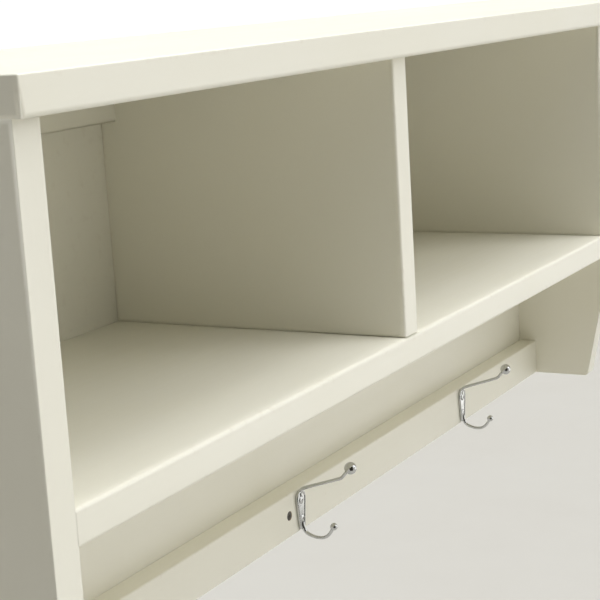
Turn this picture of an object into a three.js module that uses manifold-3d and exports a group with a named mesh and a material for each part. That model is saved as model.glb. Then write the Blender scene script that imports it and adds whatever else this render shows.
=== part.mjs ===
// Wall-hung coat shelf with cubbies: painted boards, a hook rail and chrome double hooks.
// Units are millimetres. +X is to the right, +Y is into the wall, +Z is up.
// The origin is on the wall plane, at the middle of the back panel.
import * as THREE from 'three';
import { mergeVertices } from 'three/addons/utils/BufferGeometryUtils.js';
import { RoundedBoxGeometry } from 'three/addons/geometries/RoundedBoxGeometry.js';
import Module from 'manifold-3d';

// ---- driving dimensions ----
const WIDTH = 1100;              // outside of one side panel to outside of the other
const BOARD = 18;                // thickness of every painted board
const SIDE_DEPTH = 220;          // wall to the front edge of a side panel
const TOP_OVERHANG = 5;          // top board in front of the side panels
const CUBBY_HEIGHT = 169;        // shelf to the underside of the top board
const DROP = 213;                // shelf surface down to the bottom of the side panels
const OUTER_CUBBY = 334;         // clear width of the left and the right cubby
const BACK_THICK = 6;            // back panel
const RAIL_HEIGHT = 35;          // hook rail and hanging cleats
const CLEAT_THICK = 12;
const EDGE_ROUND = 1.5;          // rounding along a board's long front edges
const TOP_ROUND = 1;             // rounding all round the top board

const LEDGE_BELOW_SHELF = 58;    // shelf surface down to where the side panel is cut away
const LEDGE_RUN = 14;            // flat part of that cut, measured from the front edge
const FOOT_DEPTH = 81.5;         // side panel's depth along its bottom edge
const FOOT_LEAN = 0.2153;        // lean of its lower front edge, depth over height
const FOOT_ROUND = 4;

const HOOK_SPACING = 326;
const PLATE_HEIGHT = 33;
const PLATE_THICK = 2.6;
const PLATE_EDGE = 0.8;          // chamfer round the plate's front
const PLATE_TOP_RADIUS = 7;      // round upper end of a hook's plate
const PLATE_FOOT_RADIUS = 4;     // round lower end
const PRONG_RADIUS = 1.5;
const UPPER_BALL_RADIUS = 5;
const LOWER_BALL_RADIUS = 3.1;
const UPPER_SCREW = 8;           // above the middle of the plate
const LOWER_SCREW = -7;

const DOWEL_RADIUS = 4;
const DOWEL_LENGTH = 30;
const DOWEL_IN_FACE = 12;        // depth of a dowel hole in a board's face
const DOWEL_IN_EDGE = 20;        // depth of a dowel hole in a board's end
const FIT_GAP = 0.2;             // gap between a fitting and its hole
const LOOSE_GAP = 0.3;           // gap round a fitting that has to turn
const REACH = 1;                 // a cutter runs this far past the face that it opens
const CAM_DISTANCE = 34;         // joint face to the middle of the cam lock
const CAM_RADIUS = 7.3;
const CAM_HEIGHT = 12.8;
const CAM_POCKET_DEPTH = 13.5;
const CAM_MOUTH = [12.5, 8.2, 8.4];  // hollow for the bolt's head: along the bolt, across, high
const CAM_MOUTH_SHIFT = 2.1;     // that hollow's middle, from the cam's middle towards the bolt
const BOLT_THREAD_RADIUS = 2.5;
const BOLT_COLLAR_RADIUS = 3.6;
const BOLT_SHANK_RADIUS = 2.8;
const BOLT_NECK_RADIUS = 1.9;
const BOLT_HEAD_RADIUS = 3.4;
const BOLT_HOLE_RADIUS = 4.2;
const WALL_SCREW_RADIUS = 2.2;
const WALL_SCREW_HEAD_RADIUS = 3.7;
const WALL_SCREW_HEAD_HEIGHT = 2.4;
const WALL_SCREW_SINK = 0.3;     // head below the face
const WALL_GAP = 0.4;            // wall screws end this far short of the wall plane
const RAIL_SCREW_X = -17;        // beside the centre hook
const CLEAT_SCREW_INSET = 60;    // wall screw in from the inside of the side panel
const HOOK_SCREW_RADIUS = 1.5;
const HOOK_SCREW_HEAD_RADIUS = 3.1;
const HOOK_SCREW_CROWN = 0.6;      // raised part of its head
const HOOK_SCREW_PROUD = 0.2;      // its head stands this far off the plate
const HOOK_SCREW_TIP = 12.2;       // depth of its tip in the rail
const HOOK_SCREW_POINT = 2.6;      // length of its tapered end
const HOOK_SEAT_RADIUS = 3.7;
const HOOK_SEAT_DEPTH = 2.2;
const PILOT_DEPTH = 15;

// Driver recesses: radius, depth and width of the two crossed slots.
const CAM_CROSS = [4, 1.6, 1.6];
const WALL_SCREW_CROSS = [2, 1.3, 1];
const HOOK_SCREW_CROSS = [1.8, 1.3, 0.8];

// ---- levels and positions that follow from them ----
const BACK_HEIGHT = CUBBY_HEIGHT + DROP;
const topUnderside = BACK_HEIGHT / 2;
const bottom = -BACK_HEIGHT / 2;
const shelfTop = topUnderside - CUBBY_HEIGHT;
const shelfMid = shelfTop - BOARD / 2;
const insideX = WIDTH / 2 - BOARD;
const insideWidth = 2 * insideX;
const panelFront = -SIDE_DEPTH;
const backFront = -BACK_THICK;
const insideDepth = SIDE_DEPTH - BACK_THICK;
const dividerX = insideX - OUTER_CUBBY - BOARD / 2;
const centreCubby = 2 * (dividerX - BOARD / 2);
const railMid = bottom + RAIL_HEIGHT / 2;
const railFront = backFront - BOARD;
const cleatMid = topUnderside - RAIL_HEIGHT / 2;

const SHELF_DOWEL_Y = [-40, -180];
const SHELF_CAM_Y = [-75, -145];
const TOP_DOWEL_Y = [-50, -170];
const TOP_CAM_Y = -110;
const DIVIDER_DOWEL_Y = [-60, -160];
const SIDES = [['left', -1], ['right', 1]];

const PAINT = { color: 0xe6e1d3, roughness: 0.42, metalness: 0 };
const RAW_BOARD = { color: 0xded8c6, roughness: 0.6, metalness: 0 };
const CHROME = { color: 0xc9cbcc, roughness: 0.12, metalness: 1 };
const ZINC = { color: 0xa9acad, roughness: 0.35, metalness: 1 };
const BLACK_STEEL = { color: 0x1c1b1a, roughness: 0.5, metalness: 1 };
const BEECH = { color: 0xc89f6b, roughness: 0.7, metalness: 0 };

// ---- solids ----
const wasm = await Module();
wasm.setup();

const X_AXIS = new THREE.Vector3(1, 0, 0);
const Y_AXIS = new THREE.Vector3(0, 1, 0);
const Z_AXIS = new THREE.Vector3(0, 0, 1);

function solidFrom(geometry) {
  const bare = geometry.clone();
  bare.deleteAttribute('normal');
  bare.deleteAttribute('uv');
  const merged = mergeVertices(bare, 1e-4);
  const mesh = new wasm.Mesh({
    numProp: 3,
    vertProperties: Float32Array.from(merged.attributes.position.array),
    triVerts: Uint32Array.from(merged.index.array),
  });
  return new wasm.Manifold(mesh);
}

function geometryFrom(solid) {
  const mesh = solid.getMesh();
  const geometry = new THREE.BufferGeometry();
  geometry.setAttribute('position', new THREE.BufferAttribute(mesh.vertProperties, 3));
  geometry.setIndex(new THREE.BufferAttribute(mesh.triVerts, 1));
  const faceted = geometry.toNonIndexed();
  faceted.computeVertexNormals();
  return faceted;
}

const group = new THREE.Group();
group.name = 'cubby_coat_shelf';

function addNode(name, solid, look) {
  const node = new THREE.Mesh(geometryFrom(solid), new THREE.MeshStandardMaterial(look));
  node.name = name;
  group.add(node);
}

// Turns a geometry's own X, Y and Z to the three given directions and moves it to a point.
function place(geometry, xDir, yDir, zDir, point) {
  const turn = new THREE.Matrix4().makeBasis(xDir, yDir, zDir);
  return geometry.applyMatrix4(turn.setPosition(...point));
}

// A cylinder from start, running along a direction.
function rod(start, direction, length, radius, sides = 12) {
  const geometry = new THREE.CylinderGeometry(radius, radius, length, sides);
  geometry.translate(0, length / 2, 0);
  const turn = new THREE.Quaternion().setFromUnitVectors(Y_AXIS, direction);
  geometry.applyQuaternion(turn).translate(...start);
  return solidFrom(geometry);
}

function block(size, middle) {
  return solidFrom(new THREE.BoxGeometry(...size).translate(...middle));
}

// A solid of revolution about Y: the profile is radius, then distance along +Y.
function turnedAboutY(profile, sides) {
  const points = profile.map(([radius, y]) => new THREE.Vector2(radius, y));
  return solidFrom(new THREE.LatheGeometry(points, sides));
}

// Two crossed slots for a screwdriver, cut into a face that looks along -Y.
function crossRecess([radius, depth, width], face) {
  const across = block([2 * radius, 2 * depth, width], [0, face, 0]);
  return across.add(block([width, 2 * depth, 2 * radius], [0, face, 0]));
}

function cutAll(solid, cutters) {
  return cutters.reduce((rest, cutter) => rest.subtract(cutter), solid);
}

// A rectangle that starts at 0, 0, with the chosen corners rounded.
// Corners run anticlockwise from the lower left.
function cornerRoundedShape(width, height, rounded, radius) {
  const corners = [[0, 0, 1, 1, Math.PI], [width, 0, -1, 1, 1.5 * Math.PI],
    [width, height, -1, -1, 0], [0, height, 1, -1, 0.5 * Math.PI]];
  const points = corners.flatMap(([x, y, inX, inY, start], index) => {
    if (!rounded[index]) return [new THREE.Vector2(x, y)];
    return [0, 1, 2].map((step) => {
      const angle = start + (step * Math.PI) / 4;
      return new THREE.Vector2(x + inX * radius + radius * Math.cos(angle),
        y + inY * radius + radius * Math.sin(angle));
    });
  });
  return new THREE.Shape(points);
}

// A board lying along X: its section is drawn in depth (Y) and height (Z).
function boardAlongX(length, depth, height, rounded, corner) {
  const shape = cornerRoundedShape(depth, height, rounded, EDGE_ROUND);
  const geometry = new THREE.ExtrudeGeometry(shape, { depth: length, bevelEnabled: false });
  return solidFrom(place(geometry, Y_AXIS, Z_AXIS, X_AXIS, corner));
}

// ---- dowels and cam fittings ----
// A joint sits on the face where one board's end meets another board's face.
// Its direction points from the face into the end.
function dowelHoles(point, direction) {
  const start = point.clone().addScaledVector(direction, -DOWEL_IN_FACE);
  return rod(start, direction, DOWEL_IN_FACE + DOWEL_IN_EDGE, DOWEL_RADIUS + FIT_GAP);
}

function addDowel(name, point, direction) {
  const start = point.clone().addScaledVector(direction, FIT_GAP - DOWEL_IN_FACE);
  addNode(name, rod(start, direction, DOWEL_LENGTH, DOWEL_RADIUS), BEECH);
}

// Matrix of a cam joint: its own X runs into the board's end, its own -Z to the cam's opening.
function camFrame(point, intoEnd, towardOpening) {
  const up = towardOpening.clone().negate();
  const across = up.clone().cross(intoEnd);
  return new THREE.Matrix4().makeBasis(intoEnd, across, up).setPosition(...point);
}

function turned(solid, matrix) {
  return solid.transform(matrix.elements);
}

function camCut() {
  const threadHole = rod([-DOWEL_IN_FACE, 0, 0], X_AXIS, DOWEL_IN_FACE + FIT_GAP,
    BOLT_THREAD_RADIUS + LOOSE_GAP);
  const boltHole = rod([0, 0, 0], X_AXIS, CAM_DISTANCE, BOLT_HOLE_RADIUS);
  const pocket = rod([CAM_DISTANCE, 0, -BOARD / 2 - REACH], Z_AXIS, CAM_POCKET_DEPTH + REACH,
    CAM_RADIUS + LOOSE_GAP, 20);
  return threadHole.add(boltHole).add(pocket);
}

function camLock() {
  const face = FIT_GAP - BOARD / 2;
  const disc = rod([CAM_DISTANCE, 0, face], Z_AXIS, CAM_HEIGHT, CAM_RADIUS, 20);
  const mouth = block(CAM_MOUTH, [CAM_DISTANCE - CAM_MOUTH_SHIFT, 0, 0]);
  const cross = crossRecess(CAM_CROSS, 0).rotate([90, 0, 0]).translate([CAM_DISTANCE, 0, face]);
  return cutAll(disc, [mouth, cross]);
}

// The bolt's thread goes into the face, its head into the cam lock.
function camBolt() {
  const tip = FIT_GAP * 2 - DOWEL_IN_FACE;
  const end = CAM_DISTANCE + 1.2;
  const profile = [[0, tip], [BOLT_THREAD_RADIUS - 0.3, tip], [BOLT_THREAD_RADIUS, tip + 0.6],
    [BOLT_THREAD_RADIUS, 0.1], [BOLT_COLLAR_RADIUS, 0.4], [BOLT_COLLAR_RADIUS, 2.6],
    [BOLT_SHANK_RADIUS, 3], [BOLT_SHANK_RADIUS, end - 7.2], [BOLT_NECK_RADIUS, end - 6.2],
    [BOLT_NECK_RADIUS, end - 3.7], [BOLT_HEAD_RADIUS, end - 3], [BOLT_HEAD_RADIUS, end - 0.8],
    [BOLT_HEAD_RADIUS - 1, end], [0, end]];
  return turnedAboutY(profile, 9).rotate([0, 0, -90]);
}

function camJoints() {
  const joints = [];
  for (const [side, sign] of SIDES) {
    const inward = new THREE.Vector3(-sign, 0, 0);
    SHELF_CAM_Y.forEach((y, index) => joints.push({
      name: `${side}_shelf_${index ? 'front' : 'rear'}`,
      frame: camFrame([sign * insideX, y, shelfMid], inward, Z_AXIS.clone().negate()),
    }));
    joints.push({
      name: `${side}_top`,
      frame: camFrame([sign * (insideX + BOARD / 2), TOP_CAM_Y, topUnderside],
        Z_AXIS.clone().negate(), inward),
    });
  }
  return joints;
}

function dowelJoints() {
  const joints = [];
  const add = (name, x, y, z, direction) => joints.push({
    name, point: new THREE.Vector3(x, y, z), direction,
  });
  const down = Z_AXIS.clone().negate();
  for (const [side, sign] of SIDES) {
    const inward = new THREE.Vector3(-sign, 0, 0);
    ['rear', 'front'].forEach((end, index) => {
      add(`${side}_shelf_dowel_${end}`, sign * insideX, SHELF_DOWEL_Y[index], shelfMid, inward);
      add(`${side}_top_dowel_${end}`, sign * (insideX + BOARD / 2), TOP_DOWEL_Y[index],
        topUnderside, down);
      add(`${side}_divider_upper_dowel_${end}`, sign * dividerX, DIVIDER_DOWEL_Y[index],
        topUnderside, down);
      add(`${side}_divider_lower_dowel_${end}`, sign * dividerX, DIVIDER_DOWEL_Y[index],
        shelfTop, Z_AXIS);
    });
    add(`${side}_rail_dowel`, sign * insideX, (railFront + backFront) / 2, railMid, inward);
  }
  return joints;
}

const dowels = dowelJoints();
const cams = camJoints();
const camCutter = camCut();
const jointCuts = [...dowels.map((joint) => dowelHoles(joint.point, joint.direction)),
  ...cams.map((joint) => turned(camCutter, joint.frame))];

// ---- wall screws ----
// Each goes through a rail or cleat and the back panel. Its head sits in a cone-shaped seat.
const cleatScrewX = insideX - CLEAT_SCREW_INSET;
const WALL_SCREWS = [
  { name: 'rail_wall_screw', x: RAIL_SCREW_X, face: railFront, z: railMid },
  { name: 'left_cleat_wall_screw', x: -cleatScrewX, face: backFront - CLEAT_THICK, z: cleatMid },
  { name: 'right_cleat_wall_screw', x: cleatScrewX, face: backFront - CLEAT_THICK, z: cleatMid },
];

function wallScrew(length) {
  const profile = [[0, WALL_SCREW_SINK], [WALL_SCREW_HEAD_RADIUS, WALL_SCREW_SINK],
    [WALL_SCREW_RADIUS, WALL_SCREW_HEAD_HEIGHT], [WALL_SCREW_RADIUS, length], [0, length]];
  return turnedAboutY(profile, 16).subtract(crossRecess(WALL_SCREW_CROSS, WALL_SCREW_SINK));
}

function wallScrewCut(length) {
  const headRadius = WALL_SCREW_HEAD_RADIUS + LOOSE_GAP;
  const radius = WALL_SCREW_RADIUS + LOOSE_GAP;
  return turnedAboutY([[0, -REACH], [headRadius, -REACH], [headRadius, WALL_SCREW_SINK],
    [radius, WALL_SCREW_HEAD_HEIGHT], [radius, length], [0, length]], 16);
}

const wallScrewCuts = WALL_SCREWS.map(({ x, face, z }) => (
  wallScrewCut(REACH - face).translate([x, face, z])));

// ---- boards ----
function topBoard() {
  const depth = SIDE_DEPTH + TOP_OVERHANG;
  const geometry = new RoundedBoxGeometry(WIDTH, depth, BOARD, 2, TOP_ROUND);
  geometry.translate(0, -depth / 2, topUnderside + BOARD / 2);
  return cutAll(solidFrom(geometry), jointCuts);
}

// Side panel: full depth down to a ledge below the shelf, then a concave sweep
// and a straight leaning edge down to the foot.
function sidePanelShape() {
  const normal = new THREE.Vector2(1, FOOT_LEAN).normalize();
  const ledge = shelfTop - LEDGE_BELOW_SHELF;
  const foot = new THREE.Vector2(-FOOT_DEPTH, bottom);
  const sweepX = panelFront + LEDGE_RUN;
  const reach = normal.x * (foot.x - sweepX) + normal.y * (foot.y - ledge);
  const radius = reach / (1 - normal.y);
  const sweepMiddle = new THREE.Vector2(sweepX, ledge - radius);
  const shape = new THREE.Shape();
  shape.moveTo(0, topUnderside);
  shape.lineTo(panelFront, topUnderside);
  shape.lineTo(panelFront, ledge + FOOT_ROUND);
  shape.quadraticCurveTo(panelFront, ledge, panelFront + FOOT_ROUND, ledge);
  shape.lineTo(sweepX, ledge);
  shape.absarc(sweepMiddle.x, sweepMiddle.y, radius, Math.PI / 2, normal.angle(), true);
  shape.lineTo(foot.x - FOOT_LEAN * FOOT_ROUND, foot.y + FOOT_ROUND);
  shape.quadraticCurveTo(foot.x, foot.y, foot.x + FOOT_ROUND, foot.y);
  shape.lineTo(0, bottom);
  return shape;
}

function sidePanel(sign) {
  const edge = EDGE_ROUND / 2;
  const geometry = new THREE.ExtrudeGeometry(sidePanelShape(), {
    depth: BOARD - 2 * edge, bevelThickness: edge, bevelSize: edge, bevelOffset: -edge,
    bevelSegments: 1, curveSegments: 14,
  });
  const start = sign < 0 ? -WIDTH / 2 : insideX;
  const panel = solidFrom(place(geometry, Y_AXIS, Z_AXIS, X_AXIS, [start + edge, 0, 0]));
  return cutAll(panel, jointCuts);
}

function divider(sign) {
  const shape = cornerRoundedShape(BOARD, insideDepth, [true, true, false, false], EDGE_ROUND);
  const geometry = new THREE.ExtrudeGeometry(shape, { depth: CUBBY_HEIGHT, bevelEnabled: false });
  geometry.translate(sign * dividerX - BOARD / 2, panelFront, shelfTop);
  return cutAll(solidFrom(geometry), jointCuts);
}

function shelf() {
  const board = boardAlongX(insideWidth, insideDepth, BOARD, [true, false, false, true],
    [-insideX, panelFront, shelfTop - BOARD]);
  return cutAll(board, jointCuts);
}

const HOOKS = [['left', -HOOK_SPACING], ['centre', 0], ['right', HOOK_SPACING]];
const HOOK_SCREWS = [['upper', UPPER_SCREW], ['lower', LOWER_SCREW]];

function hookRail() {
  const board = boardAlongX(insideWidth, BOARD, RAIL_HEIGHT, [true, false, false, true],
    [-insideX, railFront, bottom]);
  const pilots = HOOKS.flatMap(([, x]) => HOOK_SCREWS.map(([, dz]) => (
    rod([x, railFront - REACH, railMid + dz], Y_AXIS, PILOT_DEPTH + REACH,
      HOOK_SCREW_RADIUS + FIT_GAP))));
  return cutAll(board, [...jointCuts, ...pilots, ...wallScrewCuts]);
}

// Hanging cleat under the top board, at the back of one cubby. Sign 0 is the centre cubby.
function cleat(sign) {
  const length = sign === 0 ? centreCubby : OUTER_CUBBY;
  const middle = sign * (insideX - OUTER_CUBBY / 2);
  const board = boardAlongX(length, CLEAT_THICK, RAIL_HEIGHT, [true, false, false, false],
    [middle - length / 2, backFront - CLEAT_THICK, topUnderside - RAIL_HEIGHT]);
  return cutAll(board, wallScrewCuts);
}

function backPanel() {
  const panel = block([insideWidth, BACK_THICK, BACK_HEIGHT], [0, -BACK_THICK / 2, 0]);
  return cutAll(panel, wallScrewCuts);
}

// ---- hooks ----
// Hook paths: distance out from the rail, then height above the middle of the plate.
const UPPER_PRONG = [[1.4, 12], [1.5, 14.6], [3.2, 17.3], [7.5, 19.2], [20, 23.4], [34, 28.1],
  [39.4, 30.3], [42.8, 34], [47.6, 38.8]];
const LOWER_PRONG = [[1.6, -10.5], [2.5, -14.5], [4.4, -18.4], [9.6, -20.9], [16.8, -21.8],
  [22.9, -20.1], [26.8, -16.2], [30, -11.1]];

function prong(path, steps) {
  const curve = new THREE.CatmullRomCurve3(path.map(([out, up]) => new THREE.Vector3(0, -out, up)));
  const section = new THREE.Shape().absarc(0, 0, PRONG_RADIUS, 0, 2 * Math.PI, false);
  const geometry = new THREE.ExtrudeGeometry(section, {
    steps, extrudePath: curve, curveSegments: 5, bevelEnabled: false,
  });
  return solidFrom(geometry);
}

function ball(path, radius) {
  const [out, up] = path[path.length - 1];
  return solidFrom(new THREE.SphereGeometry(radius, 14, 8).translate(0, -out, up));
}

// The plate's outline is two arcs joined by their common tangents.
function hookPlate() {
  const top = PLATE_HEIGHT / 2 - PLATE_TOP_RADIUS;
  const foot = PLATE_FOOT_RADIUS - PLATE_HEIGHT / 2;
  const taper = Math.asin((PLATE_TOP_RADIUS - PLATE_FOOT_RADIUS) / (top - foot));
  const shape = new THREE.Shape();
  shape.absarc(0, top, PLATE_TOP_RADIUS, -taper, Math.PI + taper, false);
  shape.absarc(0, foot, PLATE_FOOT_RADIUS, Math.PI + taper, 2 * Math.PI - taper, false);
  const geometry = new THREE.ExtrudeGeometry(shape, {
    depth: PLATE_THICK - PLATE_EDGE, bevelThickness: PLATE_EDGE, bevelSize: PLATE_EDGE,
    bevelOffset: -PLATE_EDGE, bevelSegments: 1, curveSegments: 5,
  });
  return solidFrom(geometry.rotateX(Math.PI / 2));
}

// Screw hole through the plate with a cone-shaped seat, open to well in front of the prongs' roots.
function plateScrewCut(dz) {
  const radius = HOOK_SCREW_RADIUS + FIT_GAP;
  const front = -2 * PLATE_THICK;
  return turnedAboutY([[0, front], [HOOK_SEAT_RADIUS, front], [HOOK_SEAT_RADIUS, -PLATE_THICK],
    [radius, HOOK_SEAT_DEPTH - PLATE_THICK], [radius, REACH], [0, REACH]], 16).translate([0, 0, dz]);
}

function doubleHook() {
  const body = hookPlate()
    .add(prong(UPPER_PRONG, 20)).add(ball(UPPER_PRONG, UPPER_BALL_RADIUS))
    .add(prong(LOWER_PRONG, 18)).add(ball(LOWER_PRONG, LOWER_BALL_RADIUS));
  const insideRail = block([3 * PLATE_TOP_RADIUS, 4, 2 * PLATE_HEIGHT], [0, 2, 0]);
  return cutAll(body, [insideRail, ...HOOK_SCREWS.map(([, dz]) => plateScrewCut(dz))]);
}

// Raised countersunk screw: the head stands a little proud of the plate.
function hookScrew() {
  const face = -PLATE_THICK - HOOK_SCREW_PROUD;
  const profile = [[0, face], [HOOK_SCREW_HEAD_RADIUS * 0.8, face + HOOK_SCREW_CROWN / 3],
    [HOOK_SCREW_HEAD_RADIUS, face + HOOK_SCREW_CROWN],
    [HOOK_SCREW_RADIUS, HOOK_SEAT_DEPTH - PLATE_THICK],
    [HOOK_SCREW_RADIUS, HOOK_SCREW_TIP - HOOK_SCREW_POINT],
    [HOOK_SCREW_RADIUS / 2, HOOK_SCREW_TIP - HOOK_SCREW_POINT * 0.3], [0, HOOK_SCREW_TIP]];
  return turnedAboutY(profile, 12).subtract(crossRecess(HOOK_SCREW_CROSS, face));
}

// ---- assembly ----
addNode('top_board', topBoard(), PAINT);
SIDES.forEach(([side, sign]) => addNode(`${side}_side_panel`, sidePanel(sign), PAINT));
SIDES.forEach(([side, sign]) => addNode(`${side}_divider`, divider(sign), PAINT));
addNode('cubby_shelf', shelf(), PAINT);
addNode('back_panel', backPanel(), RAW_BOARD);
addNode('hook_rail', hookRail(), PAINT);
[['left', -1], ['centre', 0], ['right', 1]].forEach(([side, sign]) => {
  addNode(`${side}_hanging_cleat`, cleat(sign), PAINT);
});

const hook = doubleHook();
const screw = hookScrew();
for (const [side, x] of HOOKS) {
  addNode(`${side}_double_hook`, hook.translate([x, railFront, railMid]), CHROME);
  for (const [level, dz] of HOOK_SCREWS) {
    addNode(`${side}_hook_${level}_screw`, screw.translate([x, railFront, railMid + dz]), ZINC);
  }
}

for (const { name, x, face, z } of WALL_SCREWS) {
  addNode(name, wallScrew(-face - WALL_GAP).translate([x, face, z]), BLACK_STEEL);
}

dowels.forEach((joint) => addDowel(joint.name, joint.point, joint.direction));
const lock = camLock();
const bolt = camBolt();
for (const joint of cams) {
  addNode(`${joint.name}_cam_lock`, turned(lock, joint.frame), ZINC);
  addNode(`${joint.name}_cam_bolt`, turned(bolt, joint.frame), ZINC);
}

export default group;
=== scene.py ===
"""Looks of a wall-hung cubby coat shelf: satin-painted boards, chrome double hooks, screws, light and camera.

Units are metres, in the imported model's frame: +X to the right, +Y into the wall, +Z up.
"""

import math

import bmesh
import bpy
from mathutils import Matrix, Quaternion, Vector


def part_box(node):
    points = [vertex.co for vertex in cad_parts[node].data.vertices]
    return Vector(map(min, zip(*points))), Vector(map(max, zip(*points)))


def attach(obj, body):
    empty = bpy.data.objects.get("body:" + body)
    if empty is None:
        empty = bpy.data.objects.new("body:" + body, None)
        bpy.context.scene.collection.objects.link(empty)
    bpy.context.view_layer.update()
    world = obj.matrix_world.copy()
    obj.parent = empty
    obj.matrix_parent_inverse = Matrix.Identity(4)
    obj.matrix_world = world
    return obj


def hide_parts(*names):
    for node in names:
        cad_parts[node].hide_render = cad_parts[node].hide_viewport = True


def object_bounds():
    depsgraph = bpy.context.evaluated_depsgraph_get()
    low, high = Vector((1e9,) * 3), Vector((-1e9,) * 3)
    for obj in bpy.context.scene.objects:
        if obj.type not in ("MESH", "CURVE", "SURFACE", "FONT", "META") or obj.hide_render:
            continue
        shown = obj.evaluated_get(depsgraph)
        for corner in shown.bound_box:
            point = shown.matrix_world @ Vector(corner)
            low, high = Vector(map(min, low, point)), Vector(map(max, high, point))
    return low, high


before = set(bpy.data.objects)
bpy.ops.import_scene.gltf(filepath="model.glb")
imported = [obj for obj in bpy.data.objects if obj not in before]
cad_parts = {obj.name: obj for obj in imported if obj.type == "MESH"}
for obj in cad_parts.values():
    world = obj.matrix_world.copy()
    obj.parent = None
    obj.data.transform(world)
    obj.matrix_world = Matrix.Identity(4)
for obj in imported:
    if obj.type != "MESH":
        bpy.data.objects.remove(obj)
cad_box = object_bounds()

MM = 0.001
X, Y, Z = Vector((1, 0, 0)), Vector((0, 1, 0)), Vector((0, 0, 1))
SIDES = ("left", "right")
HOOK_PLACES = ("left", "centre", "right")
HOOK_LEVELS = ("upper", "lower")
WALL_SCREWS = ("rail_wall_screw", "left_cleat_wall_screw", "right_cleat_wall_screw")

EDGE_RADIUS = 1.4 * MM        # long front edges of the boards
SHELF_EDGE_RADIUS = 2 * MM    # front edges of the cubby shelf
FOOT_JOINT = {"left": 0.65 * MM, "right": 0.2 * MM}  # gap under a divider's foot, at its front
FOOT_LENGTH = 5 * MM          # part of the foot, from its front, that is lifted
TOP_RADIUS = 1 * MM           # ends and upper edges of the top board
PANEL_EDGE_RADIUS = 0.5 * MM  # outline of the side panels
PANEL_OUTLINE_DEPTH = 0.75 * MM  # the CAD panel shows its full outline this far in from its face
JOINT_RADIUS = 0.35 * MM      # every other board edge
WEAR_WIDTH = 2.5 * MM         # band along the edges where paint wears
BROAD_FACE = 10.5 * MM        # a face narrower than this is all edge
CAM_GAP = 0.3 * MM            # drilled pocket round a cam lock
CAM_SINK = 0.2 * MM           # how far a cam lock sits below the board's face
CAM_POCKET_DEPTH = 13.5 * MM
SCREW_GAP = 0.12 * MM         # drilled seat round a wall screw's head
DRILL_REACH = 2 * MM          # a cutter starts this far outside the face
WALL_SCREW_RIM = 0.25 * MM    # depth of the head's widest part
WALL_SCREW_HEAD = 2.4 * MM    # depth of the whole head
WALL_SCREW_HOLE = 2.5 * MM    # radius
RAIL_DRILL = 40 * MM          # a drill this long goes through the rail or a cleat
PANEL_DRILL = 10 * MM         # the same for the back panel
PANEL_HUB = (0.18, 0.6)       # point inside the side panel's outline: parts of its depth and height
SAME_PLACE = 0.02 * MM        # points this close count as level

CREAM = (0.865, 0.842, 0.735, 1)
CREAM_DEEP = (0.85, 0.825, 0.705, 1)
PRIMER = (0.66, 0.60, 0.49, 1)
FIBREBOARD = (0.42, 0.29, 0.17, 1)
FIBREBOARD_DARK = (0.27, 0.17, 0.09, 1)


# ---- node materials ----
class Shading:
    """One procedural material: its shader and short calls that add nodes to it."""

    def __init__(self, name):
        self.material = bpy.data.materials.new(name)
        self.material.use_nodes = True
        self.nodes = self.material.node_tree.nodes
        self.links = self.material.node_tree.links
        self.shader = self.nodes["Principled BSDF"]
        self.place = self.nodes.new("ShaderNodeTexCoord").outputs["Object"]

    def stretched(self, scale):
        node = self.nodes.new("ShaderNodeMapping")
        node.inputs["Scale"].default_value = scale
        self.links.new(self.place, node.inputs["Vector"])
        return node.outputs["Vector"]

    def noise(self, scale, detail=2, vector=None, distortion=0):
        node = self.nodes.new("ShaderNodeTexNoise")
        node.inputs["Scale"].default_value = scale
        node.inputs["Detail"].default_value = detail
        node.inputs["Distortion"].default_value = distortion
        self.links.new(vector or self.place, node.inputs["Vector"])
        return node.outputs["Fac"]

    def ranged(self, value, start, end, low, high):
        node = self.nodes.new("ShaderNodeMapRange")
        node.inputs["From Min"].default_value = start
        node.inputs["From Max"].default_value = end
        node.inputs["To Min"].default_value = low
        node.inputs["To Max"].default_value = high
        self.links.new(value, node.inputs["Value"])
        return node.outputs["Result"]

    def product(self, first, second):
        node = self.nodes.new("ShaderNodeMath")
        node.operation = "MULTIPLY"
        self.links.new(first, node.inputs[0])
        self.links.new(second, node.inputs[1])
        return node.outputs[0]

    def mixed(self, factor, first, second):
        node = self.nodes.new("ShaderNodeMix")
        node.data_type = "RGBA"
        self.links.new(factor, node.inputs[0])
        for socket, colour in ((node.inputs[6], first), (node.inputs[7], second)):
            if isinstance(colour, tuple):
                socket.default_value = colour
            else:
                self.links.new(colour, socket)
        return node.outputs[2]

    def attribute(self, name):
        node = self.nodes.new("ShaderNodeAttribute")
        node.attribute_name = name
        return node.outputs["Fac"]

    def bump(self, height, distance, before=None):
        node = self.nodes.new("ShaderNodeBump")
        node.inputs["Distance"].default_value = distance
        self.links.new(height, node.inputs["Height"])
        if before:
            self.links.new(before, node.inputs["Normal"])
        return node.outputs["Normal"]

    def finish(self, constants, **linked):
        for socket, value in constants.items():
            self.shader.inputs[socket].default_value = value
        for socket, output in linked.items():
            self.links.new(output, self.shader.inputs[socket.replace("_", " ")])
        return self.material


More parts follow.
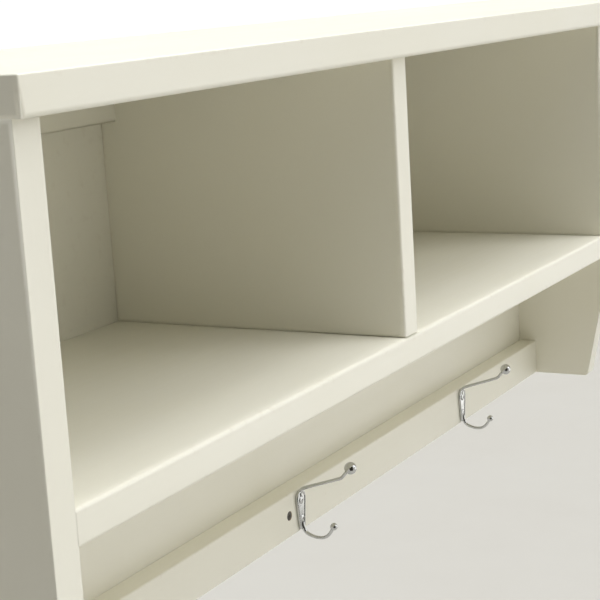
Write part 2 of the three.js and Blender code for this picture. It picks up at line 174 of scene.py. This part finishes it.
def satin_paint(name, along):
    """Satin paint on smooth board. along is the axis that the roller marks run on."""
    s = Shading(name)
    mark_scale = [240, 240, 240]
    mark_scale["XYZ".index(along)] = 6
    marks = s.noise(1, detail=5, vector=s.stretched(mark_scale))
    peel = s.noise(820, detail=2)
    mottle = s.noise(8, detail=4, distortion=0.4)
    colour = s.mixed(s.ranged(mottle, 0.38, 0.72, 0, 0.7), CREAM, CREAM_DEEP)
    specks = s.ranged(s.noise(1400, detail=1), 0.72, 0.76, 0, 0.3)
    colour = s.mixed(specks, colour, PRIMER)
    worn = s.product(s.attribute("edge_wear"), s.ranged(s.noise(140, detail=5), 0.58, 0.72, 0, 0.22))
    colour = s.mixed(worn, colour, PRIMER)
    relief = s.bump(marks, 0.05 * MM, s.bump(peel, 0.018 * MM, s.bump(mottle, 0.12 * MM)))
    return s.finish({"Specular IOR Level": 0.45}, Base_Color=colour, Normal=relief,
                    Roughness=s.ranged(marks, 0.3, 0.7, 0.36, 0.50))


def raw_fibreboard(name):
    """Bare board where it is drilled or left unpainted: felted fibres, no gloss."""
    s = Shading(name)
    fibres = s.noise(1, detail=6, vector=s.stretched((900, 260, 900)), distortion=1.2)
    cloud = s.noise(14, detail=4)
    colour = s.mixed(s.ranged(fibres, 0.35, 0.7, 0, 1), FIBREBOARD, FIBREBOARD_DARK)
    colour = s.mixed(s.ranged(cloud, 0.4, 0.75, 0, 0.45), colour, FIBREBOARD)
    return s.finish({"Specular IOR Level": 0.25}, Base_Color=colour,
                    Roughness=s.ranged(fibres, 0.3, 0.7, 0.72, 0.9),
                    Normal=s.bump(fibres, 0.08 * MM))


def chrome(name):
    """Bright plating: nearly a mirror, with polish marks, faint haze and slow ripples."""
    s = Shading(name)
    haze = s.noise(160, detail=4)
    scratches = s.noise(1, detail=3, vector=s.stretched((2600, 2600, 220)))
    ripple = s.noise(210, detail=1)
    colour = s.mixed(s.ranged(haze, 0.45, 0.75, 0, 1), (0.57, 0.575, 0.57, 1), (0.47, 0.475, 0.465, 1))
    relief = s.bump(scratches, 0.002 * MM, s.bump(ripple, 0.03 * MM))
    return s.finish({"Metallic": 1.0}, Base_Color=colour, Normal=relief,
                    Roughness=s.ranged(haze, 0.35, 0.7, 0.05, 0.17))


def plated_steel(name, bright, dull, roughness):
    """Zinc plate or black phosphate on turned steel: fine lathe marks and a cloudy coat."""
    s = Shading(name)
    cloud = s.noise(420, detail=4)
    lathe_marks = s.noise(1, detail=2, vector=s.stretched((900, 5200, 900)))
    colour = s.mixed(s.ranged(cloud, 0.38, 0.68, 0, 1), bright, dull)
    return s.finish({"Metallic": 0.95}, Base_Color=colour,
                    Roughness=s.ranged(cloud, 0.3, 0.7, roughness - 0.08, roughness + 0.12),
                    Normal=s.bump(lathe_marks, 0.01 * MM))


def bare_beech(name):
    """Straight-grained beech with the short dark flecks that beech shows."""
    s = Shading(name)
    grain = s.noise(1, detail=5, vector=s.stretched((120, 700, 120)))
    flecks = s.ranged(s.noise(1, detail=1, vector=s.stretched((500, 2600, 500))), 0.62, 0.7, 0, 0.6)
    colour = s.mixed(s.ranged(grain, 0.3, 0.7, 0, 1), (0.56, 0.37, 0.21, 1), (0.42, 0.25, 0.13, 1))
    colour = s.mixed(flecks, colour, (0.22, 0.11, 0.05, 1))
    return s.finish({"Specular IOR Level": 0.3}, Base_Color=colour,
                    Roughness=s.ranged(grain, 0.3, 0.7, 0.55, 0.75),
                    Normal=s.bump(grain, 0.05 * MM))


def pale_floor(name):
    s = Shading(name)
    cloud = s.noise(1.6, detail=5)
    colour = s.mixed(s.ranged(cloud, 0.35, 0.7, 0, 1), (0.475, 0.46, 0.42, 1), (0.46, 0.443, 0.402, 1))
    return s.finish({}, Base_Color=colour, Roughness=s.ranged(cloud, 0.3, 0.7, 0.6, 0.75),
                    Normal=s.bump(s.noise(60, detail=3), 0.2 * MM))


PAINT_ALONG_X = satin_paint("satin_paint_along_x", "X")
PAINT_ALONG_Z = satin_paint("satin_paint_along_z", "Z")
RAW_BOARD = raw_fibreboard("raw_fibreboard")
CHROME = chrome("chrome_plate")
ZINC = plated_steel("zinc_plate", (0.62, 0.63, 0.65, 1), (0.47, 0.48, 0.51, 1), 0.32)
BLACK_STEEL = plated_steel("black_phosphate", (0.13, 0.12, 0.105, 1), (0.08, 0.075, 0.065, 1), 0.5)
BEECH = bare_beech("bare_beech")


# ---- mesh helpers ----
def middle_of(node):
    low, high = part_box(node)
    return (low + high) / 2


def object_from(name, mesh):
    piece = bpy.data.objects.new(name, mesh)
    bpy.context.scene.collection.objects.link(piece)
    return piece


def mesh_from(name, bm, materials):
    mesh = bpy.data.meshes.new(name)
    bmesh.ops.recalc_face_normals(bm, faces=bm.faces)
    bm.to_mesh(mesh)
    bm.free()
    for material in materials:
        mesh.materials.append(material)
    mesh.shade_smooth()
    return mesh


def baked(piece):
    """Replaces a piece's mesh with what its modifiers make of it."""
    bpy.context.view_layer.update()
    made = bpy.data.meshes.new_from_object(piece.evaluated_get(bpy.context.evaluated_depsgraph_get()))
    piece.modifiers.clear()
    piece.data = made
    return piece


def cut(piece, cutter):
    """Cuts one mesh object out of another. The new faces keep the cutter's material."""
    boolean = piece.modifiers.new("cut", "BOOLEAN")
    boolean.operation = "DIFFERENCE"
    boolean.solver = "EXACT"
    boolean.material_mode = "TRANSFER"
    boolean.object = cutter
    baked(piece)
    bpy.data.objects.remove(cutter)
    if not piece.data.polygons:
        raise RuntimeError(f"nothing is left of {piece.name} after a cut")
    return piece


def with_flat_faces(piece):
    """Keeps big faces flat in the shading while the rounded edges stay smooth."""
    normals = piece.modifiers.new("flat_faces", "WEIGHTED_NORMAL")
    normals.weight = 100
    normals.keep_sharp = True
    return piece


def stands_for(piece, *nodes, slot):
    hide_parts(*nodes)
    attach(piece, "root")
    return piece


def turned_shape(profile, steps=48):
    """A solid of revolution about Y. The profile is (radius, y) pairs and starts and ends on the axis."""
    bm = bmesh.new()
    points = [bm.verts.new((radius, y, 0)) for radius, y in profile]
    edges = [bm.edges.new(pair) for pair in zip(points, points[1:])]
    bmesh.ops.spin(bm, geom=points + edges, cent=(0, 0, 0), axis=Y, steps=steps, angle=2 * math.pi)
    widest = max(radius for radius, _ in profile)
    bmesh.ops.remove_doubles(bm, verts=bm.verts, dist=1e-5 * widest)
    return bm


def pointing(direction, at):
    """Matrix that turns a shape's own -Y to a direction and moves it to a point."""
    return Matrix.Translation(at) @ (-Y).rotation_difference(direction).to_matrix().to_4x4()


def drill(piece, at, direction, profile):
    """Drills a round hole into a piece from a point on its face. direction points out of the hole.

    The profile is (radius, depth) pairs from the mouth to the bottom.
    """
    mouth = profile[0][0]
    depth = profile[-1][1]
    bm = turned_shape([(0, -DRILL_REACH), (mouth, -DRILL_REACH), *profile, (0, depth)])
    bm.transform(pointing(direction, at))
    return cut(piece, object_from("cutter", mesh_from("cutter", bm, [RAW_BOARD])))


# ---- boards ----
def mark_wear(bm):
    """Insets the broad faces, so that a vertex value can fade from the edges inwards."""
    layer = bm.verts.layers.float.new("edge_wear")
    broad = [face for face in bm.faces
             if 2 * face.calc_area() > BROAD_FACE * face.calc_perimeter()]
    bmesh.ops.inset_individual(bm, faces=broad, thickness=WEAR_WIDTH, use_even_offset=True)
    inner = {vert for face in broad for vert in face.verts}
    for vert in bm.verts:
        vert[layer] = 0.0 if vert in inner else 1.0


def round_edges(bm, edges, radius, segments):
    bmesh.ops.bevel(bm, geom=edges, offset=radius, segments=segments, profile=0.5, affect="EDGES",
                    clamp_overlap=True)


def board(node, material, rounded, radius=EDGE_RADIUS):
    """A board the size of its CAD node. rounded(middle, direction) picks the edges rounded by radius."""
    low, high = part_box(node)
    bm = bmesh.new()
    bmesh.ops.create_cube(bm, size=1)
    size = high - low
    bm.transform(Matrix.Translation((low + high) / 2) @ Matrix.Diagonal((*size, 1)))

    def chosen(edge):
        first, second = (vert.co for vert in edge.verts)
        return rounded((first + second) / 2, (second - first).normalized())

    soft = [edge for edge in bm.edges if chosen(edge)]
    crisp = [edge for edge in bm.edges if edge not in soft]
    round_edges(bm, soft, radius, 5)
    crisp = [edge for edge in crisp if edge.is_valid]
    round_edges(bm, crisp, JOINT_RADIUS, 2)
    mark_wear(bm)
    return object_from(node + "_painted", mesh_from(node, bm, [material]))


def front_edges_along(axis, low):
    """Picks the edges that run along an axis at the front of a board."""
    return lambda middle, direction: abs(direction.dot(axis)) > 0.9 and middle.y < low.y + MM


def front_board(node, material, axis, radius=EDGE_RADIUS):
    low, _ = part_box(node)
    return board(node, material, front_edges_along(axis, low), radius)


def panel_outline(node):
    """The side panel's outline, (y, z) pairs in order, read from the CAD panel's own vertices."""
    low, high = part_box(node)
    level = low.x + PANEL_OUTLINE_DEPTH
    near = [v.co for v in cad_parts[node].data.vertices if abs(v.co.x - level) < SAME_PLACE]
    points = {(round(co.y, 6), round(co.z, 6)) for co in near}
    hub_y = high.y - PANEL_HUB[0] * (high.y - low.y)
    hub_z = low.z + PANEL_HUB[1] * (high.z - low.z)
    return sorted(points, key=lambda point: math.atan2(point[1] - hub_z, point[0] - hub_y))


def side_panel(side):
    node = f"{side}_side_panel"
    low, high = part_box(node)
    bm = bmesh.new()
    face = bm.faces.new([bm.verts.new((low.x, y, z)) for y, z in panel_outline(node)])
    made = bmesh.ops.extrude_face_region(bm, geom=[face])["geom"]
    new_verts = [item for item in made if isinstance(item, bmesh.types.BMVert)]
    bmesh.ops.translate(bm, verts=new_verts, vec=(high.x - low.x, 0, 0))
    outline = [edge for edge in bm.edges if abs(edge.verts[0].co.x - edge.verts[1].co.x) < 1e-6]
    free = [edge for edge in outline if min(vert.co.z for vert in edge.verts) < high.z - MM]
    round_edges(bm, free, PANEL_EDGE_RADIUS, 4)
    mark_wear(bm)
    piece = object_from(node + "_painted", mesh_from(node, bm, [PAINT_ALONG_Z]))
    inward = X if side == "left" else -X
    piece = drill_cam_pocket(piece, f"{side}_top_cam_lock", inward)
    stands_for(with_flat_faces(piece), node, slot="paint")


def drill_cam_pocket(piece, cam, direction):
    """Opens the drilled pocket that a cam lock sits in. direction points out of the pocket."""
    low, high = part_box(cam)
    half = (high - low) / 2
    reach = abs(half.dot(direction))
    radius = max(half) + CAM_GAP
    mouth = (low + high) / 2 + direction * (reach + CAM_SINK)
    return drill(piece, mouth, direction, [(radius, 0), (radius, CAM_POCKET_DEPTH)])


def drill_wall_screw(piece, face, screw):
    """Drills a screw's seat and clearance hole into a board whose front face is at y = face."""
    low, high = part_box(screw)
    head_radius = (high.x - low.x) / 2 + SCREW_GAP
    mouth = middle_of(screw)
    mouth.y = face
    sink = low.y - mouth.y
    return drill(piece, mouth, -Y, [(head_radius, 0), (head_radius, sink + WALL_SCREW_RIM),
                                    (WALL_SCREW_HOLE, sink + WALL_SCREW_HEAD), (WALL_SCREW_HOLE, RAIL_DRILL)])


def top_board():
    low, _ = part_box("top_board")
    piece = board("top_board", PAINT_ALONG_X, lambda middle, direction: middle.z > low.z + MM, TOP_RADIUS)
    stands_for(with_flat_faces(piece), "top_board", slot="paint")


def cubby_shelf():
    piece = front_board("cubby_shelf", PAINT_ALONG_X, X, SHELF_EDGE_RADIUS)
    for side in SIDES:
        for end in ("rear", "front"):
            drill_cam_pocket(piece, f"{side}_shelf_{end}_cam_lock", -Z)
    stands_for(with_flat_faces(piece), "cubby_shelf", slot="paint")


def dividers():
    """Each divider stands on the shelf, with a joint under its foot that opens towards the front."""
    for side in SIDES:
        node = f"{side}_divider"
        low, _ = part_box(node)
        piece = front_board(node, PAINT_ALONG_Z, Z)
        for vert in piece.data.vertices:
            if vert.co.z < low.z + MM and vert.co.y < low.y + FOOT_LENGTH:
                vert.co.z += FOOT_JOINT[side]
        stands_for(with_flat_faces(piece), node, slot="paint")


def screwed_board(node, screws, rounded):
    piece = board(node, PAINT_ALONG_X, rounded)
    for screw in screws:
        drill_wall_screw(piece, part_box(node)[0].y, screw)
    stands_for(with_flat_faces(piece), node, slot="paint")


def rail_and_cleats():
    rail_low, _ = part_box("hook_rail")
    screwed_board("hook_rail", ["rail_wall_screw"], front_edges_along(X, rail_low))
    for place in HOOK_PLACES:
        node = f"{place}_hanging_cleat"
        low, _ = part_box(node)
        screws = [] if place == "centre" else [f"{place}_cleat_wall_screw"]
        screwed_board(node, screws, lambda middle, direction, low=low: (
            abs(direction.x) > 0.9 and middle.y < low.y + MM and middle.z < low.z + MM))


def back_panel():
    """Thin panel, painted in front and bare behind."""
    piece = board("back_panel", PAINT_ALONG_X, lambda middle, direction: False)
    piece.data.materials.append(RAW_BOARD)
    for polygon in piece.data.polygons:
        if polygon.normal.y > 0.9:
            polygon.material_index = 1
    for screw in WALL_SCREWS:
        mouth = middle_of(screw)
        mouth.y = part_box("back_panel")[0].y
        drill(piece, mouth, -Y, [(WALL_SCREW_HOLE, 0), (WALL_SCREW_HOLE, PANEL_DRILL)])
    stands_for(with_flat_faces(piece), "back_panel", slot="raw_board")


# ---- hooks ----
# Shape of a double hook, in millimetres: each point is (distance out from the rail,
# height above the plate's middle, radius).
UPPER_PRONG = [(1.3, 11.5, 1.7), (1.5, 14.8, 1.6), (3.3, 17.4, 1.5), (7.5, 19.2, 1.45), (20, 23.4, 1.4),
               (34, 28.1, 1.4), (39.2, 30.2, 1.4), (42.2, 33.4, 1.4), (45.6, 37, 1.5)]
LOWER_PRONG = [(1.5, -10, 1.8), (2.4, -14.4, 1.6), (4.4, -18.3, 1.5), (9.6, -20.9, 1.4),
               (16.8, -21.8, 1.35), (22.9, -20.1, 1.35), (26.8, -16.2, 1.35), (29, -12.6, 1.4)]
UPPER_BALL = (47.6, 38.8, 4.95)
LOWER_BALL = (30, -11.1, 3.05)
PLATE_THICK = 2.6
PLATE_HEIGHT = 33
PLATE_TOP_RADIUS = 6.9
PLATE_FOOT_RADIUS = 4
PLATE_ROUND = 1.1             # of the outer edge
PLATE_RIM = 0.35              # flat top of the raised rim
PLATE_SLOPE = 0.5             # across the slope inside the rim
PLATE_DISH = 0.75             # depth of the dished face
SCREW_SEAT = [(0, -9), (3.25, -9), (3.25, -2.1), (1.6, -0.3), (1.6, 1), (0, 1)]    # (radius, y)
HOOK_VOXEL = 0.25


def prong(path):
    curve = bpy.data.curves.new("prong", "CURVE")
    curve.dimensions = "3D"
    curve.bevel_depth = 1
    curve.bevel_resolution = 6
    curve.use_fill_caps = True
    spline = curve.splines.new("BEZIER")
    spline.bezier_points.add(len(path) - 1)
    for point, (out, up, radius) in zip(spline.bezier_points, path):
        point.co = (0, -out, up)
        point.radius = radius
        point.handle_left_type = point.handle_right_type = "AUTO"
    holder = object_from("prong", curve)
    bpy.context.view_layer.update()
    mesh = bpy.data.meshes.new_from_object(holder.evaluated_get(bpy.context.evaluated_depsgraph_get()))
    bpy.data.objects.remove(holder)
    return mesh


def arc(middle_z, radius, start, end, steps=18):
    angles = [start + (end - start) * step / steps for step in range(steps + 1)]
    return [(radius * math.cos(a), middle_z + radius * math.sin(a)) for a in angles]


def hook_plate():
    """The plate: a round top tapering to a smaller round foot, with a raised rim round a dished face."""
    top = PLATE_HEIGHT / 2 - PLATE_TOP_RADIUS
    foot = PLATE_FOOT_RADIUS - PLATE_HEIGHT / 2
    taper = math.asin((PLATE_TOP_RADIUS - PLATE_FOOT_RADIUS) / (top - foot))
    outline = (arc(top, PLATE_TOP_RADIUS, -taper, math.pi + taper)
               + arc(foot, PLATE_FOOT_RADIUS, math.pi + taper, 2 * math.pi - taper))
    bm = bmesh.new()
    face = bm.faces.new([bm.verts.new((x, 0, z)) for x, z in outline])
    made = bmesh.ops.extrude_face_region(bm, geom=[face])["geom"]
    front = [item for item in made if isinstance(item, bmesh.types.BMVert)]
    bmesh.ops.translate(bm, verts=front, vec=(0, -PLATE_THICK, 0))
    rim = [edge for edge in bm.edges if all(vert.co.y < -PLATE_THICK / 2 for vert in edge.verts)]
    round_edges(bm, rim, PLATE_ROUND, 4)
    bmesh.ops.recalc_face_normals(bm, faces=bm.faces)
    face = min(bm.faces, key=lambda f: f.calc_center_median().y)
    bmesh.ops.inset_individual(bm, faces=[face], thickness=PLATE_RIM)
    bmesh.ops.inset_individual(bm, faces=[face], thickness=PLATE_SLOPE, depth=-PLATE_DISH)
    return object_from("plate", mesh_from("plate", bm, []))


def double_hook_mesh(screw_heights):
    """Plate, prongs and ball tips run together like a casting, then smoothed. Made in millimetres."""
    plate = hook_plate()
    bm = bmesh.new()
    bm.from_mesh(plate.data)
    bpy.data.objects.remove(plate)
    for path in (UPPER_PRONG, LOWER_PRONG):
        bm.from_mesh(prong(path))
    for out, up, radius in (UPPER_BALL, LOWER_BALL):
        at = Matrix.Translation((0, -out, up))
        bmesh.ops.create_uvsphere(bm, u_segments=32, v_segments=20, radius=radius, matrix=at)
    body = object_from("hook_body", mesh_from("hook_body", bm, []))
    remesh = body.modifiers.new("run_together", "REMESH")
    remesh.mode = "VOXEL"
    remesh.voxel_size = HOOK_VOXEL
    smooth = body.modifiers.new("polish", "SMOOTH")
    smooth.factor = 0.5
    smooth.iterations = 5
    baked(body)
    for height in screw_heights:
        bm = turned_shape(SCREW_SEAT)
        bm.transform(Matrix.Translation((0, 0, height)))
        cut(body, object_from("seat", mesh_from("seat", bm, [])))
    mesh = body.data
    mesh.transform(Matrix.Scale(MM, 4))
    mesh.materials.clear()
    mesh.materials.append(CHROME)
    mesh.shade_smooth()
    mesh.set_sharp_from_angle(angle=math.radians(45))
    bpy.data.objects.remove(body)
    return mesh


def double_hooks():
    rail_face, rail_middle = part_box("hook_rail")[0].y, middle_of("hook_rail").z
    heights = [(middle_of(f"centre_hook_{level}_screw").z - rail_middle) / MM for level in HOOK_LEVELS]
    mesh = double_hook_mesh(heights)
    for place in HOOK_PLACES:
        node = f"{place}_double_hook"
        piece = object_from(node + "_plated", mesh)
        piece.location = (middle_of(node).x, rail_face, rail_middle)
        stands_for(piece, node, slot="chrome")


# ---- screws and cam locks ----
# Turned profiles: each point is (part of the head's radius, distance along the axis).
HOOK_SCREW_CROWN = [(0, 0), (0.45, 0.08 * MM), (0.8, 0.3 * MM), (1, 0.62 * MM)]
HOOK_SCREW_HEAD = 2.4 * MM
HOOK_SCREW_SHANK = 0.48       # part of the head's radius
HOOK_SCREW_POINT = [(1, 2.6 * MM), (0.5, 0.8 * MM)]    # (part of the shank's radius, length left)
WALL_SCREW_FLAT = 0.9         # part of the head's radius
WALL_SCREW_SHANK = 0.6
CAM_FACE = 0.5 * MM           # the disc's face lies this far inside its rim
CAM_HEAD = [(0, CAM_FACE), (0.72, CAM_FACE), (0.76, 0.1 * MM), (0.94, 0),
            (1, 0.35 * MM), (1, 2.6 * MM), (0.9, 3 * MM)]
CAM_WAIST = 0.9               # part of the head's radius
CAM_END = 0.4 * MM
CAM_CROSS = 0.55              # reach of the cross recess, as a part of the radius
# Cross recesses: reach, width and depth of each arm.
HOOK_SCREW_RECESS = (1.75 * MM, 0.75 * MM, 1.3 * MM)
WALL_SCREW_RECESS = (2 * MM, 0.95 * MM, 1.3 * MM)
RECESS_TAPER = (0.45, 0.6)    # parts of the reach and width left at the bottom
RECESS_EDGE = 0.08 * MM


def wedge_cutter(turn, recess, material):
    """One arm of a cross recess facing -Y: a wedge that narrows with depth, turned about Y."""
    radius, width, depth, face = recess
    bm = bmesh.new()
    for vert in bmesh.ops.create_cube(bm, size=1)["verts"]:
        deep = vert.co.y > 0
        span = radius * (RECESS_TAPER[0] if deep else 1.0) * 2
        thick = width * (RECESS_TAPER[1] if deep else 1.0)
        vert.co = Vector((vert.co.x * span, face + (depth if deep else -depth), vert.co.z * thick))
    bm.transform(Matrix.Rotation(turn, 4, "Y"))
    return object_from("wedge", mesh_from("wedge", bm, [material]))


def headed(name, profile, recess, material):
    """A turned piece about Y with a cross recess in its -Y end, as a mesh round its own origin."""
    piece = object_from(name, mesh_from(name, turned_shape(profile), [material]))
    for turn in (0, math.pi / 2):
        cut(piece, wedge_cutter(turn, recess, material))
    edges = piece.modifiers.new("soften", "BEVEL")
    edges.width = RECESS_EDGE
    edges.segments = 2
    edges.limit_method = "ANGLE"
    edges.angle_limit = math.radians(35)
    mesh = baked(piece).data
    mesh.shade_smooth()
    bpy.data.objects.remove(piece)
    return mesh


def hook_screws():
    """Raised countersunk screws that hold the hooks: the seat is at y = 0 on the rail's face."""
    low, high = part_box("centre_hook_upper_screw")
    rail_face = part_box("hook_rail")[0].y
    radius = (high.x - low.x) / 2
    front = low.y - rail_face
    tip = high.y - rail_face
    shank = radius * HOOK_SCREW_SHANK
    profile = [(radius * part, front + depth) for part, depth in HOOK_SCREW_CROWN]
    profile.append((shank, front + HOOK_SCREW_HEAD))
    profile += [(shank * part, tip - left) for part, left in HOOK_SCREW_POINT]
    profile.append((0, tip))
    mesh = headed("hook_screw", profile, (*HOOK_SCREW_RECESS, front), CHROME)
    for place in HOOK_PLACES:
        for level in HOOK_LEVELS:
            node = f"{place}_hook_{level}_screw"
            piece = object_from(node + "_plated", mesh)
            piece.location = middle_of(node)
            piece.location.y = rail_face
            stands_for(with_flat_faces(piece), node, slot="zinc")


def wall_screws():
    for node in WALL_SCREWS:
        low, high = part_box(node)
        radius = (high.x - low.x) / 2
        length = high.y - low.y
        shank = radius * WALL_SCREW_SHANK
        profile = [(0, 0), (radius * WALL_SCREW_FLAT, 0), (radius, WALL_SCREW_RIM),
                   (shank, WALL_SCREW_HEAD), (shank, length), (0, length)]
        mesh = headed(node, profile, (*WALL_SCREW_RECESS, 0), BLACK_STEEL)
        piece = object_from(node + "_black", mesh)
        piece.location = ((low.x + high.x) / 2, low.y, (low.z + high.z) / 2)
        stands_for(with_flat_faces(piece), node, slot="black_steel")


def cam_locks():
    """Die-cast cam discs in their pockets, each with a cross for the screwdriver."""
    cams = {f"{side}_shelf_{end}_cam_lock": -Z for side in SIDES for end in ("rear", "front")}
    cams["left_top_cam_lock"] = X
    cams["right_top_cam_lock"] = -X
    for node, direction in cams.items():
        low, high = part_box(node)
        half = (high - low) / 2
        height = 2 * abs(half.dot(direction))
        radius = max(half)
        profile = [(radius * part, depth) for part, depth in CAM_HEAD]
        profile += [(radius * CAM_WAIST, height - CAM_END), (0, height)]
        mesh = headed(node, profile, (radius * CAM_CROSS, 1.6 * MM, 2 * MM, CAM_FACE), ZINC)
        piece = object_from(node + "_cast", mesh)
        piece.matrix_world = pointing(direction, (low + high) / 2 + direction * height / 2)
        stands_for(with_flat_faces(piece), node, slot="zinc")


def dress_hidden_fittings():
    """Dowels and cam bolts lie inside the boards: the CAD shapes stay, with their own materials."""
    for name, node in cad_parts.items():
        if "dowel" in name or name.endswith("cam_bolt"):
            node.data.materials.clear()
            node.data.materials.append(BEECH if "dowel" in name else ZINC)


# ---- surroundings ----
FLOOR_DROP = 1.6                         # the shelf hangs this far above the floor
FLOOR_REACH = 18                         # half the floor's width
DARK_CARD = ((-1.2, -1.38, -0.55), 2.2, 1.4)    # place, width and height
BRIGHT_CARD = ((1.35, -1.1, -0.35), 1.3, 0.8)
BRIGHT_CARD_GLOW = 1.3
HORIZON = (1.06, 1.05, 1.03, 1)
OVERHEAD = (0.17, 0.162, 0.115, 1)
HORIZON_BAND = (0.02, 0.15)              # heights between which the horizon fades into the overhead
SIDE_BAND = (-0.8, 0.25)                 # from the dim left to the bright right
DIMMEST = 0.1
# Distant lights: name, direction they come from, spread in degrees, strength.
LIGHTS = (
    ("front_right", (0.60, -0.78, 0.50), 30, 0.44),
    ("front_middle", (0.20, -0.90, 0.45), 40, 0.36),
    ("front_high", (0.10, -0.60, 1), 40, 0.58),
    ("front_steep", (0, -0.24, 1), 16, 0.45),
    ("overhead", (0.12, -0.20, 1), 66, 1.27),
    ("zenith", (0, 0, 1), 12, 2.0),
)
LIGHT_COLOUR = (0.97, 0.985, 1.02)
CAMERA_PLACE = Vector((-1.0502, -0.6295, 0.2369))
CAMERA_HEADING = math.radians(60.52)     # turned from +Y towards +X
CAMERA_TILT = math.radians(11.22)        # below the horizon
CAMERA_ROLL = math.radians(3.50)
CAMERA_LENS = 95.4


def floor():
    bm = bmesh.new()
    bmesh.ops.create_grid(bm, x_segments=2, y_segments=2, size=FLOOR_REACH)
    ground = object_from("floor", mesh_from("floor", bm, [pale_floor("pale_floor")]))
    ground.location.z = cad_box[0].z - FLOOR_DROP


def far_light(name, comes_from, spread, strength):
    """Even soft light from a direction, like a very large softbox far away."""
    light = bpy.data.lights.new(name, "SUN")
    light.energy = strength
    light.angle = math.radians(spread)
    light.color = LIGHT_COLOUR
    lamp = object_from(name, light)
    lamp.location = comes_from
    lamp.rotation_mode = "QUATERNION"
    lamp.rotation_quaternion = (-Vector(comes_from)).to_track_quat("-Z", "Y")


def room_light():
    """A pale room: white at the horizon, dimmer overhead and dimmest to the left."""
    world = bpy.data.worlds.new("pale_room")
    world.use_nodes = True
    nodes, links = world.node_tree.nodes, world.node_tree.links
    direction = nodes.new("ShaderNodeSeparateXYZ")
    links.new(nodes.new("ShaderNodeTexCoord").outputs["Generated"], direction.inputs[0])

    def ranged(value, start, end, low, high):
        node = nodes.new("ShaderNodeMapRange")
        for socket, number in zip(node.inputs[1:5], (start, end, low, high)):
            socket.default_value = number
        links.new(value, node.inputs["Value"])
        return node.outputs["Result"]

    mix = nodes.new("ShaderNodeMix")
    mix.data_type = "RGBA"
    mix.inputs[6].default_value = HORIZON
    mix.inputs[7].default_value = OVERHEAD
    links.new(ranged(direction.outputs["Z"], *HORIZON_BAND, 0, 1), mix.inputs[0])
    background = nodes["Background"]
    links.new(mix.outputs[2], background.inputs["Color"])
    links.new(ranged(direction.outputs["X"], *SIDE_BAND, DIMMEST, 1), background.inputs["Strength"])
    bpy.context.scene.world = world


def reflected_card(name, placing, material):
    """A card off to one side, seen only in reflections, so that the bright metal has contrast."""
    place, width, height = placing
    bm = bmesh.new()
    bmesh.ops.create_grid(bm, x_segments=4, y_segments=4, size=0.5)
    bm.transform(Matrix.Diagonal((width, height, 1, 1)))
    card = object_from(name, mesh_from(name, bm, [material]))
    card.location = place
    card.rotation_mode = "QUATERNION"
    card.rotation_quaternion = Vector((-place[0], -place[1], 0)).to_track_quat("Z", "Y")
    card.visible_camera = card.visible_diffuse = card.visible_shadow = False


def cards():
    """A dark card to the left of the view and a bright one to the right."""
    dark = Shading("dark_card")
    cloth = dark.mixed(dark.noise(40, detail=3), (0.05, 0.047, 0.04, 1), (0.08, 0.075, 0.065, 1))
    reflected_card("dark_card", DARK_CARD, dark.finish({"Roughness": 0.9}, Base_Color=cloth))
    bright = Shading("bright_card")
    glow = bright.mixed(bright.noise(6, detail=2), (1, 0.99, 0.96, 1), (0.92, 0.91, 0.88, 1))
    bright.finish({"Roughness": 0.9, "Emission Strength": BRIGHT_CARD_GLOW}, Emission_Color=glow)
    reflected_card("bright_card", BRIGHT_CARD, bright.material)


def studio_light():
    bpy.context.scene.view_settings.view_transform = "Standard"
    room_light()
    for name, comes_from, spread, strength in LIGHTS:
        far_light(name, comes_from, spread, strength)


def camera():
    """The view from the left, a little above the top board, looking down and to the right."""
    data = bpy.data.cameras.new("camera")
    data.lens = CAMERA_LENS
    data.sensor_width = 36
    viewer = object_from("camera", data)
    across = math.cos(CAMERA_TILT)
    forward = Vector((math.sin(CAMERA_HEADING) * across, math.cos(CAMERA_HEADING) * across,
                      -math.sin(CAMERA_TILT)))
    viewer.location = CAMERA_PLACE
    viewer.rotation_mode = "QUATERNION"
    viewer.rotation_quaternion = forward.to_track_quat("-Z", "Y") @ Quaternion(Z, -CAMERA_ROLL)
    bpy.context.scene.camera = viewer


top_board()
for side in SIDES:
    side_panel(side)
dividers()
cubby_shelf()
rail_and_cleats()
back_panel()
double_hooks()
hook_screws()
wall_screws()
cam_locks()
dress_hidden_fittings()
floor()
cards()
studio_light()
camera()
